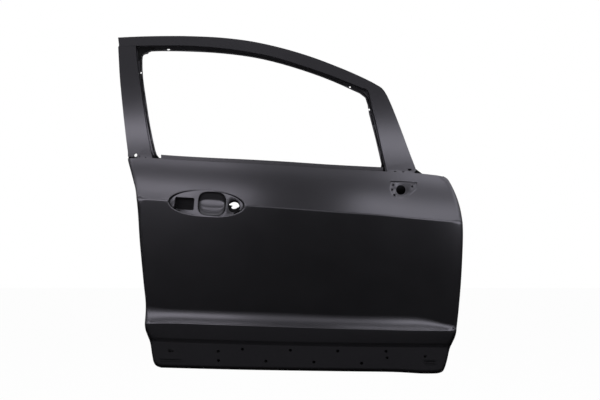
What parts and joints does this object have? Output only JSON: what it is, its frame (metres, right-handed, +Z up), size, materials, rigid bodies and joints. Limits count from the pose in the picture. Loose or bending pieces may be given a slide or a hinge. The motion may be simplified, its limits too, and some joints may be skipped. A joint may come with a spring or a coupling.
{
  "type": "car door shell",
  "caption": "Shell of a right front car door with its window frame: stamped skin hemmed round a stamped inner panel, with welded frame halves and reinforcements inside.",
  "frame": {"origin": "centre of the lower hinge seat on the front shut face", "axes": "+X towards the front of the door, +Y inboard towards the cabin, +Z up"},
  "size_m": [1.1174, 0.2067, 1.0941],
  "materials": {
    "skin_e_coat": "semi-gloss black electro-coat primer",
    "e_coat": "satin black electro-coat primer",
    "mastic": "matt cured mastic"
  },
  "bodies": {
    "root": {"outer_panel": "skin_e_coat", "inner_panel": "e_coat", "frame_header_outer": "e_coat", "frame_rear_pillar_outer": "e_coat", "frame_corner_gusset": "e_coat", "belt_reinforcement_outer": "e_coat", "belt_reinforcement_inner": "e_coat", "impact_beam": "e_coat", "impact_beam_cradle_rear": "e_coat", "impact_beam_cradle_front": "e_coat", "skin_brace": "e_coat", "mastic_pad_1": "mastic", "mastic_pad_2": "mastic", "mastic_pad_3": "mastic", "mastic_pad_4": "mastic", "hinge_reinforcement_upper": "e_coat", "hinge_reinforcement_lower": "e_coat", "hinge_nut_upper_top": "e_coat", "hinge_nut_upper_bottom": "e_coat", "hinge_nut_lower_top": "e_coat", "hinge_nut_lower_bottom": "e_coat", "check_arm_reinforcement": "e_coat", "check_arm_nut_top": "e_coat", "check_arm_nut_bottom": "e_coat", "latch_reinforcement": "e_coat", "handle_reinforcement": "e_coat", "mirror_reinforcement": "e_coat", "mirror_nut_1": "e_coat", "mirror_nut_2": "e_coat", "mirror_nut_3": "e_coat", "glass_guide_front": "e_coat", "glass_guide_rear": "e_coat"}
  },
  "joints": []
}
